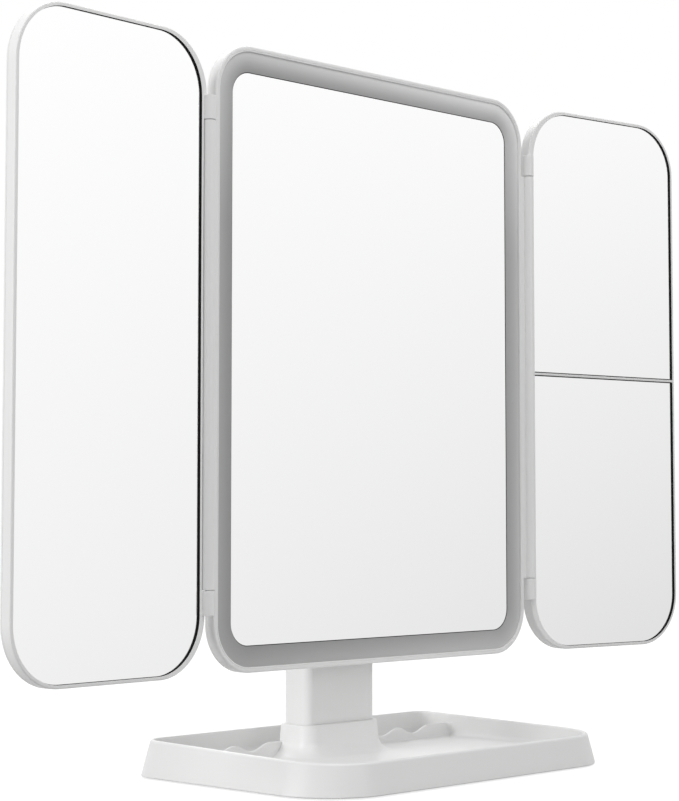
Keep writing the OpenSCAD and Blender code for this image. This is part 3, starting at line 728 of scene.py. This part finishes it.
@dataclass
class RearCover:
    """The head's back: rounded rim, slope and raised flat, pierced for screws, power button and socket."""

    panel: Panel = Panel()
    edge_d: float = 6.8
    back_d: float = 18.0
    rim_in: float = 3.0
    rim_round: float = 1.2
    soft: float = 1.0
    flat_in: float = 14.2
    inner_shift: float = 0.1
    screw_in: float = 19.2
    screw_hole: float = 2.9
    control_in: float = 46.0
    button_up: float = 56.0
    button_hole: float = 5.3
    socket_up: float = 32.0
    socket_size: Pair = (9.5, 3.8)
    hole_edge: float = 0.2

    @property
    def inner_level(self) -> float:
        """Level of the cover's inner face behind the raised flat."""
        return self.panel.shell_wall - self.back_d

    def _section(self) -> list[Pair]:
        """Section of the edge, with its corners rounded.

        Returns:
            Its points, from the inside of the flat round the rim to the flat's outside.
        """
        tangent = self.soft * math.tan(math.radians(22.5))
        parting, inner, edge = -self.panel.frame_d, self.flat_in + self.inner_shift, self.rim_round
        section = [(inner, self.inner_level), (inner + self.inner_level - parting, parting)]
        section += [(self.panel.joint, parting), (0, parting - self.panel.joint)]
        section += arc((edge, edge - self.edge_d), edge, 180, 270)
        section += arc((self.rim_in - tangent, -self.edge_d - self.soft), self.soft, 90, 45, 4)
        section += arc((self.flat_in + tangent, self.soft - self.back_d), self.soft, 225, 270, 4)
        return section

    def _holes(self) -> list[Outline]:
        """Places the holes in the flat.

        Returns:
            The outlines of the screws' holes, the button's and the socket's.
        """
        half_w, half_h = self.panel.head_w / 2, self.panel.head_h / 2
        out, up = half_w - self.screw_in, half_h - self.screw_in
        holes = [circle((x, y), self.screw_hole, 32) for x in (-out, out) for y in (-up, 0, up)]
        across, height = half_w - self.control_in, self.socket_up - half_h
        holes.append(circle((across, self.button_up - half_h), self.button_hole))
        wide, high = self.socket_size[0] / 2, self.socket_size[1] / 2
        low, far = (across - wide, height - high), (across + wide, height + high)
        holes.append(rounded_outline(low, far, high - 0.01, 8))
        return holes

    def build(self) -> None:
        """Builds and dresses the cover."""
        panel, soft = self.panel, self.hole_edge
        edge = panel.round_head(self._section())
        bore = [(0, self.inner_level), (0, soft - self.back_d), (-soft, -self.back_d)]
        holes = [panel.on_head(hole.swept(bore)) for hole in self._holes()]
        skin = Skin()
        skin.add_bar(edge, capped=False)
        skin.add_pierced(edge[0], [hole[0] for hole in holes])
        skin.add_pierced(edge[-1], [hole[-1] for hole in holes])
        for hole in holes:
            skin.add_bar(hole, capped=False)
        SATIN_PLASTIC.dress(skin.build("back_cover", 50), "head", "rear_cover")


# ---------- wings ----------


@dataclass
class Wing:
    """A folding side mirror: frame with hinge lugs, back panel, glass and the seal round it."""

    side: Side
    rest_angle: float
    panel: Panel = Panel()
    thickness: float = 7.0
    back_t: float = 2.0
    corner: float = 27.5
    border: float = 1.5
    hinge_border: float = 3.3
    glass_drop: float = 1.0
    inner_edge: float = 1.0
    gap: float = 0.4
    nose: float = 0.7
    lip: float = 0.18
    ledge: float = 2.5
    ledge_drop: float = 3.0
    bar_h: float = 1.6
    bar_z: float = 1.5
    lug_r: float = 3.0
    lug_h: float = 11.2
    lug_low: float = 106.8
    lug_edge: float = 0.35
    notch_gap: float = 0.35

    @property
    def frame_d(self) -> float:
        """Depth of the wing's frame."""
        return self.thickness - self.back_t

    @property
    def body(self) -> str:
        """The CAD body that carries the wing."""
        return f"{self.side.name.lower()}_wing"

    @property
    def divided(self) -> bool:
        """Whether a bar parts the wing's glass in two."""
        return self.side is Side.RIGHT

    @property
    def outer_edge(self) -> float:
        """Distance of the wing's outer edge from the hinge axis."""
        return self.panel.head_w / 2 + self.panel.hinge_out - self.gap / 2

    @property
    def glass_low(self) -> Pair:
        """Lower corner of the opening for the glass, on the hinge's side."""
        return self.inner_edge + self.hinge_border, self.border - self.panel.head_h / 2

    @property
    def glass_high(self) -> Pair:
        """Upper corner of the opening for the glass, on the far side."""
        return self.outer_edge - self.border, self.panel.head_h / 2 - self.border

    @property
    def notch_breaks(self) -> Quad:
        """Heights close to both ends of the spine's notch, where the wing's outlines need points."""
        end = self.lug_low
        return -end - 0.02, -end, end, end + 0.02

    def _on_wing(self, grid: Array) -> Array:
        """Turns points (out from the hinge axis, up, towards the viewer) by the rest angle to their place.

        Args:
            grid: The points.

        Returns:
            The points in the object's frame, in millimetres.
        """
        angle = math.radians(self.rest_angle)
        out, up, front = grid[..., 0], grid[..., 1], grid[..., 2]
        across = self.panel.hinge_x + out * math.cos(angle) - front * math.sin(angle)
        behind = -self.panel.hinge_front - out * math.sin(angle) - front * math.cos(angle)
        return np.stack([self.side.value * across, behind, self.panel.head_z + up], axis=-1)

    def _face(self, grid: Array) -> Array:
        """Places points whose levels count from the wing's front face."""
        return self._on_wing(grid - [0, 0, self.panel.hinge_front])

    def _rim(self, breaks: tuple[float, ...] = ()) -> Outline:
        """The wing's outline."""
        low, high = (self.inner_edge, -self.panel.head_h / 2), (self.outer_edge, self.panel.head_h / 2)
        return rounded_outline(low, high, self.corner, breaks=breaks)

    def _notched(self, grid: Array) -> Array:
        """Keeps points out of the round notch for the spine.

        Args:
            grid: Points whose levels count from the front face.

        Returns:
            The points, each at least the root of radius squared minus depth squared out from the axis.
        """
        radius = self.panel.spine_r + self.notch_gap
        depth = grid[..., 2] - self.panel.hinge_front
        reach = np.sqrt(np.clip(radius**2 - depth**2, 0, None))
        beside_spine = np.abs(grid[..., 1]) <= self.lug_low + 0.001
        moved = grid.copy()
        moved[..., 0] = np.where(beside_spine & (grid[..., 0] < reach), reach, grid[..., 0])
        return moved

    def build_frame(self) -> None:
        """Frame: rounded outer wall, front face, lip, inner wall with its ledge, lugs and any bar."""
        nose, lip, ledge = self.nose, self.lip, self.ledge
        rim = self._rim(self.notch_breaks)
        radius = self.corner - self.border
        opening = rounded_outline(self.glass_low, self.glass_high, radius, breaks=self.notch_breaks)
        rows = [rim.row(0, level) for level in np.linspace(-self.frame_d, -nose, 12)]
        rows += [rim.row(-inset, level) for inset, level in arc((nose, -nose), nose, 180, 90, 5)[1:]]
        inner = arc((-lip, -lip), lip, 90, 0, 3)
        inner += [(0, -self.ledge_drop), (-ledge, -self.ledge_drop), (-ledge, -self.frame_d)]
        rows += [opening.row(out, level) for out, level in inner]
        bars = self._lug(-1) + self._lug(1)
        if self.divided:
            bars.append(self._cross_bar())
        skin = Skin([self._face(self._notched(np.stack(rows)))], bars)
        piece = skin.build(f"{self.body}_surround")
        WHITE_PLASTIC.dress(piece, self.body, f"{self.body}_frame")

    def _lug(self, end: int) -> list[Array]:
        """Hinge lug: a round bar on the axis and its web to the frame.

        Args:
            end: 1 for the upper lug, -1 for the lower one.

        Returns:
            The grids of both.
        """
        low, high = sorted((end * self.lug_low, end * (self.lug_low + self.lug_h)))
        lug = circle((0, 0), self.lug_r).bar((low, high), self.lug_edge)
        root, front, inset, edge = 1.2, 0.8, 0.1, 0.1
        section = rounded_outline((0, -self.lug_r), (self.inner_edge + root, front), edge, 2)
        web = section.swept([(0, low + inset), (0, high - inset)])
        return [self._on_wing(grid[..., UPRIGHT]) for grid in (lug, web)]

    def _cross_bar(self) -> Array:
        """Bar between the two panes, with its front edges rounded and its ends in the frame.

        Returns:
            A grid of points.
        """
        front, root, soft, sharp, half = -0.2, 0.5, 0.4, 0.05, self.bar_h / 2
        low, high = (self.bar_z - half, -self.frame_d), (self.bar_z + half, front)
        section = rounded_outline(low, high, (soft, soft, sharp, sharp), 4)
        grid = section.swept([(0, self.glass_low[0] - root), (0, self.glass_high[0] + root)])
        return self._face(grid[..., ACROSS])

    def build_back(self) -> None:
        """Back panel: a flat plate with a rounded rear edge."""
        edge, front_edge, rim_w = self.back_t * 0.7, 0.25, 4
        section = [(front_edge, -self.frame_d), (0, -self.frame_d - front_edge), (0, edge - self.thickness)]
        section += arc((edge, edge - self.thickness), edge, 180, 270, 7)[1:]
        section += [(edge + rim_w, -self.thickness)]
        piece = Skin(bars=[self._face(self._rim().swept(section))]).build(f"{self.body}_rear_panel")
        SATIN_PLASTIC.dress(piece, self.body, f"{self.body}_back")

    def _panes(self) -> dict[str, Outline]:
        """The openings that the panes fill.

        Returns:
            Each opening, by the pane's place in the names.
        """
        low, high = self.glass_low, self.glass_high
        radius, tight = self.corner - self.border, 0.5
        if not self.divided:
            return {"left": rounded_outline(low, high, radius)}
        above, below = self.bar_z + self.bar_h / 2, self.bar_z - self.bar_h / 2
        return {
            "right_upper": rounded_outline((low[0], above), high, (radius, radius, tight, tight)),
            "right_lower": rounded_outline(low, (high[0], below), (tight, tight, radius, radius)),
        }

    def build_glass(self) -> None:
        """Panes with ground edges, each with a dark seal on the inner wall of the lip round it."""
        drop, root, width = self.glass_drop, -0.05, 0.26
        glass = self.panel.pane_section(self.panel.glue, -drop)
        rubber = [(root, -0.08), (0.1, -0.1), (width, 0.02 - drop), (width, -0.2 - drop), (root, -0.3 - drop)]
        for place, opening in self._panes().items():
            pane, seal = (self._face(opening.swept(section)) for section in (glass, rubber))
            glaze(f"{place}_pane", self.body, f"{place}_mirror", pane, seal)

    def build(self) -> None:
        """Builds and dresses the whole wing."""
        self.build_frame()
        self.build_back()
        self.build_glass()


# ---------- stand ----------


def swell(distance: Array, radius: float) -> Array:
    """Quarter-round cove: radius minus the root of radius squared minus (radius minus distance) squared."""
    near = np.clip(radius - distance, 0, radius)
    return radius - np.sqrt(radius**2 - near**2)


@dataclass
class TrayBase:
    """The tray: leaning walls with a sloping rim, coved floor, scalloped dividers and the column's socket."""

    column: ColumnSection = ColumnSection()
    width: float = 198.5
    depth: float = 125.7
    front_r: float = 28.0
    rear_r: float = 10.0
    rim_front: float = 15.4
    rim_rear: float = 18.0
    lean: float = 0.26
    wall: float = 2.2
    floor_z: float = 6.0
    well_top: float = 4.0
    base_z: float = 0.8
    base_edge: float = 0.7
    cove: float = 3.6
    socket_z: float = 21.2
    socket_wall: float = 2.2
    socket_lip: float = 0.6
    flare: float = 7.0
    socket_draft: float = 0.08
    divider_y: float = 43.0
    divider_t: float = 1.8
    divider_top: float = 12.9
    divider_cove: float = 1.6
    divider_end_cove: float = 3.0
    scallops: int = 2
    scallop_h: float = 3.4
    scallop_pitch: float = 24.0
    scallop_first: float = 46.0

    @property
    def rim_mid(self) -> float:
        """Height of the rim at the middle of the tray."""
        return (self.rim_front + self.rim_rear) / 2

    def _wall_rows(self) -> Array:
        """Wall: rows carried round the plan, each moved out by the lean times its depth below the rim.

        Returns:
            A grid of points (rows, outline, 3).
        """
        radii = (self.rear_r, self.rear_r, self.front_r, self.front_r)
        plan = centred_outline(self.width, self.depth, radii, 24)
        rim = self.rim_mid + (self.rim_rear - self.rim_front) / self.depth * plan.points[:, 1]
        round_r, well = self.wall / 2, self.wall + 1
        shoulder, heel, foot = rim - round_r, self.base_z + self.base_edge, self.floor_z + self.cove
        inside = ((well + 2, self.well_top), (well, self.well_top), (well, self.base_z))
        rows = [plan.row(-inset, level) for inset, level in inside]

        def add(inset: float, height: Array | float) -> None:
            """Adds a row at a height, moved in from the leaning outer face."""
            rows.append(plan.row(self.lean * (self.rim_mid - height) - inset, height))

        for inset, height in arc((self.base_edge, heel), self.base_edge, 270, 180, 4):
            add(inset, height)
        for share in np.linspace(0.15, 1, 5):
            add(0, heel + (shoulder - heel) * share)
        for inset, rise in arc((round_r, 0), round_r, 180, 0, 8)[1:]:
            add(inset, shoulder + rise)
        for share in np.linspace(0.3, 1, 3):
            add(self.wall, shoulder + (foot - shoulder) * share)
        for inset, height in arc((self.wall + self.cove, foot), self.cove, 180, 270, 8)[1:]:
            add(inset, height)
        add(self.wall + self.cove + 2, self.floor_z)
        return np.stack(rows)

    def _divider(self, side: Side) -> Array:
        """Divider: a thin wall whose rounded top waves as a cosine, with a cove at its foot and end.

        Args:
            side: The side of the column.

        Returns:
            A grid of points (stations, section, 3).
        """
        half, sunk, reach, past = self.divider_t / 2, 0.05, 0.6, 1.0
        run = np.linspace(0, 1, 97)
        start, wall_foot = self.column.width / 2 + 0.5, self.width / 2 - self.wall
        station = start + (wall_foot + past - start) * run
        phase = (station - self.scallop_first) / self.scallop_pitch + 0.5
        wave = self.scallop_h / 2 * (1 - np.cos(2 * math.pi * phase))
        top = self.divider_top - np.where((phase > 0) & (phase < self.scallops), wave, 0)
        rise = np.concatenate([np.linspace(0, 0.3, 7), np.linspace(0.45, 1, 5)])
        up = self.floor_z - sunk + rise * (top - half - self.floor_z + sunk)[:, None]
        end = wall_foot + self.lean * (self.rim_mid - up)
        x = station[:, None] + (end + reach - wall_foot - past) * run[:, None] ** 6
        at_foot, at_end = swell(up - self.floor_z, self.divider_cove), swell(end - x, self.divider_end_cove)
        thick = half + np.maximum(at_foot, at_end)
        turn = np.linspace(0, math.pi, 9)[1:-1]
        y = np.concatenate([-thick, -thick[:, -1:] * np.cos(turn), thick[:, ::-1]], axis=1)
        z = np.concatenate([up, up[:, -1:] + half * np.sin(turn), up[:, ::-1]], axis=1)
        xs = np.concatenate([x, np.repeat(x[:, -1:], len(turn), axis=1), x[:, ::-1]], axis=1)
        return np.stack([side.value * xs, self.divider_y + y, z], axis=-1)

    def _socket(self) -> Array:
        """Socket: a drafted collar whose foot flares as a quarter circle into the floor.

        Returns:
            A grid of points (rows, outline, 3).
        """
        lip, fit, chamfer, foot_in = self.socket_lip, 0.2, 0.3, 0.3
        sunk = self.floor_z - 0.2
        section = [(-fit, sunk), (-fit, self.socket_z - chamfer), (-2 * fit, self.socket_z)]
        section += arc((lip - self.socket_wall, self.socket_z - lip), lip, 90, 180, 5)
        turn = np.linspace(0, math.pi / 2, 13)
        heights = self.floor_z + self.flare * (1 - np.sin(turn))
        draft = self.socket_draft * (self.socket_z - heights)
        out = self.socket_wall + draft + self.flare * (1 - np.cos(turn))
        section += list(zip((-out).tolist(), heights.tolist()))
        section += [(foot_in - out[-1], sunk)]
        return self.column.plan.swept(section)

    def build(self) -> None:
        """Builds and dresses the tray."""
        skin = Skin()
        skin.add_bar(self._wall_rows())
        skin.add_ring(self._socket())
        for side in Side:
            skin.add_bar(self._divider(side))
        WHITE_PLASTIC.dress(skin.build("tray_moulding", 55), "stand", "tray")


@dataclass
class Column:
    """The column and the round knuckle on its top."""

    section: ColumnSection = ColumnSection()
    foot_z: float = 6.0
    top_z: float = 139.0
    top_edge: float = 1.0
    tilt_z: float = 150.0
    knuckle_w: float = 24.0
    knuckle_edge: float = 0.6
    knuckle_inset: float = 0.03
    knuckle_root: float = 3.0
    root_edge: float = 0.3

    def build(self) -> None:
        """Column: its section carried up to a rounded edge. Knuckle: a round-topped section across it."""
        column = self.section.plan.bar((self.foot_z, self.top_z), self.top_edge, 5)
        within, middle = self.section.depth / 2 - self.knuckle_inset, self.section.middle_y
        low, high = (middle - within, self.top_z - self.knuckle_root), (middle + within, self.tilt_z + within)
        side = rounded_outline(low, high, (within, within, self.root_edge, self.root_edge), 24)
        knuckle = side.bar((-self.knuckle_w / 2, self.knuckle_w / 2), self.knuckle_edge, 4)
        skin = Skin(bars=[column, knuckle[..., ACROSS]])
        WHITE_PLASTIC.dress(skin.build("column_moulding"), "stand", "column")


# ---------- CAD pieces that keep their shape ----------

# Moulded CAD nodes that get soft edges: each with its body and the rounding's width in millimetres.
SOFTENED = {
    "tilt_bracket": ("head", 0.6),
    "axle_caps": ("head", 0.25),
    "base_cover": ("stand", 0.3),
    "power_button": ("power_button", 0.2),
}
STEEL_NODES = (
    "ballast cover_screws column_screws bracket_screws tilt_axle axle_nut friction_washers housing_screws "
    "usb_socket left_hinge_pins right_hinge_pins"
)
REFINISHED = {
    PLATED_STEEL: STEEL_NODES,
    GREY_RUBBER: "feet",
    FOAM_PAD: "mirror_pad left_mirror_pad right_mirror_pads",
    SOLDER_MASK: "control_board",
    LAMP_STRIP: "led_strip",
    CELL_WRAP: "battery",
    SATIN_PLASTIC: "light_frame",
}


@dataclass
class Hardware:
    """The CAD pieces that keep their shape: softened copies of moulded ones, and finishes for the rest."""

    nodes: dict[str, bpy.types.Object]
    flat_angle: float = 0.8
    sharp_angle: float = 35.0
    edge_angle: float = 50.0

    def soften(self, node: str, body: str, edge: float) -> None:
        """Copies a CAD node, merges its triangles and rounds its edges.

        Args:
            node: The CAD node.
            body: The body that carries it.
            edge: Width of the rounding in millimetres.
        """
        mesh = self.nodes[node].data.copy()
        mesh.name = f"{node}_soft"
        work = bmesh.new()
        work.from_mesh(mesh)
        bmesh.ops.remove_doubles(work, verts=work.verts, dist=CAD_WELD)
        flat = math.radians(self.flat_angle)
        bmesh.ops.dissolve_limit(work, angle_limit=flat, verts=work.verts, edges=work.edges)
        work.to_mesh(mesh)
        work.free()
        piece = shaded(f"{node}_soft", mesh, self.sharp_angle)
        bevel = piece.modifiers.new("soft edges", "BEVEL")
        configure(bevel, width=edge * MM, segments=3, miter_outer="MITER_ARC")
        configure(bevel, limit_method="ANGLE", angle_limit=math.radians(self.edge_angle))
        piece.modifiers.move(1, 0)
        SATIN_PLASTIC.dress(piece, body, node)

    def refinish(self, finish: Finish, names: str) -> None:
        """Gives CAD nodes a finish in all their material slots.

        Args:
            finish: The finish.
            names: The nodes' names, with spaces between.
        """
        for name in names.split():
            for slot in self.nodes[name].material_slots:
                slot.material = finish.material()
            LOG.info("%s keeps its CAD shape in %s", name, finish.name)

    def build(self) -> None:
        """Softens the moulded pieces and finishes the rest."""
        for node, (body, edge) in SOFTENED.items():
            self.soften(node, body, edge)
        for finish, names in REFINISHED.items():
            self.refinish(finish, names)


# ---------- studio ----------


@dataclass(frozen=True)
class Softbox:
    """A square soft lamp that faces the mirror.

    Its azimuth runs from the front towards the right. Angles are in degrees and lengths in metres. A level
    of 1 renders white paper that lies square to the lamp as white.
    """

    name: str
    azimuth: float
    elevation: float
    side: float
    level: float
    distance: float = 2.2
    aim_height: float = 0.15

    def build(self) -> None:
        """Makes the lamp, with a power of its level times pi squared times its distance squared."""
        turn, rise = math.radians(self.azimuth), math.radians(self.elevation)
        way = Vector((math.sin(turn) * math.cos(rise), -math.cos(turn) * math.cos(rise), math.sin(rise)))
        light = bpy.data.lights.new(self.name, "AREA")
        power = self.level * math.pi * math.pi * self.distance**2
        configure(light, shape="SQUARE", size=self.side, energy=power)
        lamp = placed(self.name, light)
        lamp.location = way * self.distance + Vector((0, 0, self.aim_height))
        lamp.rotation_euler = way.to_track_quat("Z", "Y").to_euler()


# The low front one reaches under the mirror, and the near one lights the top more than the foot.
SOFTBOXES = (
    Softbox("left softbox", -106, 16, 1.2, 0.44),
    Softbox("front softbox", 8, 12, 0.8, 0.09),
    Softbox("near softbox", -22, 50, 0.45, 0.17, 0.9),
    Softbox("top softbox", 10, 72, 1.2, 0.08),
    Softbox("rear softbox", 150, 35, 1.0, 0.2),
)


@dataclass(frozen=True)
class Viewpoint:
    """Camera fitted to the photograph's edges: it stands front left, a little low, and looks slightly up.

    Angles are in degrees and places in millimetres. The focal length, the picture's height and the height of
    its optical centre are in the photograph's pixels.
    """

    yaw: float = -45.91
    pitch: float = -4.06
    distance: float = 1018.48
    aside: float = -20.42
    above: float = 200.02
    focal: float = 2100.0
    picture_h: float = 801.0
    centre_y: float = 357.66
    sensor: float = 36.0

    def build(self) -> None:
        """Makes the camera and puts it to use."""
        yaw, pitch = math.radians(self.yaw), math.radians(self.pitch)
        right = Vector((math.cos(yaw), math.sin(yaw), 0))
        back = Vector((math.sin(yaw) * math.cos(pitch), -math.cos(yaw) * math.cos(pitch), math.sin(pitch)))
        upward = back.cross(right)
        place = (back * self.distance + right * self.aside + upward * self.above) * MM
        lens = bpy.data.cameras.new("camera")
        configure(lens, sensor_fit="AUTO", sensor_width=self.sensor, clip_start=0.05, clip_end=50.0)
        lens.lens = self.focal / self.picture_h * self.sensor
        lens.shift_y = -(self.picture_h / 2 - self.centre_y) / self.picture_h
        camera = placed("camera", lens)
        turn = Matrix((right, upward, back)).transposed().to_4x4()
        camera.matrix_world = Matrix.Translation(place) @ turn
        bpy.context.scene.camera = camera


@dataclass
class Studio:
    """Pale floor, white surroundings, the soft lamps and the camera."""

    floor_radius: float = 6.0
    floor_sides: int = 96
    floor_tone: float = 0.4
    floor_lift: float = 0.8
    surround_level: float = 0.52

    def build_floor(self) -> None:
        """Floor: a disc that keeps a soft shadow, looks white to the camera and is plain white in mirrors."""
        ring = circle((0, 0), 1, self.floor_sides).row(0, 0) * self.floor_radius
        mesh = bpy.data.meshes.new("floor")
        mesh.from_pydata(ring.tolist(), [], [tuple(range(self.floor_sides))])
        floor = placed("floor", mesh)
        material = bpy.data.materials.new("pale floor")
        material.use_nodes = True
        material.node_tree.nodes.clear()
        bench = Bench(material.node_tree)
        rays = bench.add("LightPath").outputs
        paper = bench.add("BsdfDiffuse", {"Color": (self.floor_tone, self.floor_tone, self.floor_tone, 1)})
        lift = bench.add("Math", {0: rays["Is Camera Ray"], 1: self.floor_lift}, operation="MULTIPLY")
        glow = bench.add("Emission", {"Strength": lift.outputs[0]})
        seen = bench.add("AddShader", {0: paper.outputs[0], 1: glow.outputs[0]})
        mirrored = bench.add("Emission")
        choice = {"Fac": rays["Is Glossy Ray"], 1: seen.outputs[0], 2: mirrored.outputs[0]}
        bench.add("OutputMaterial", {"Surface": bench.add("MixShader", choice).outputs[0]})
        mesh.materials.append(material)

    def build_surround(self) -> None:
        """World: an even pale light, and plain white to camera, glossy and transmission rays."""
        world = bpy.data.worlds.new("surround")
        bpy.context.scene.world = world
        world.use_nodes = True
        bench = Bench(world.node_tree)
        rays = bench.add("LightPath").outputs
        seen = rays["Is Camera Ray"]
        for kind in ("Is Glossy Ray", "Is Transmission Ray"):
            seen = bench.add("Math", {0: seen, 1: rays[kind]}, operation="MAXIMUM").outputs[0]
        level = bench.carry(seen, (0.0, 1.0), (self.surround_level, 1.0))
        bench.fill(world.node_tree.nodes["Background"], {"Color": (1, 1, 1, 1), "Strength": level})

    def build(self) -> None:
        """Builds the studio and sets the view transform."""
        self.build_floor()
        self.build_surround()
        for softbox in SOFTBOXES:
            softbox.build()
        Viewpoint().build()
        bpy.context.scene.view_settings.view_transform = "Standard"


def corners(box: tuple) -> list[list[float]]:
    """A box's two corners as plain lists."""
    return [[float(value) for value in corner] for corner in box]


def main() -> None:
    """Loads the frame and builds every piece."""
    logging.basicConfig(level=logging.INFO, format="%(message)s")
    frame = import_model()
    CentreMirror().build()
    RearCover().build()
    Wing(Side.LEFT, 3.5).build()
    Wing(Side.RIGHT, 6.7).build()
    TrayBase().build()
    Column().build()
    Hardware(frame["nodes"]).build()
    Studio().build()


if __name__ == "__main__":
    main()
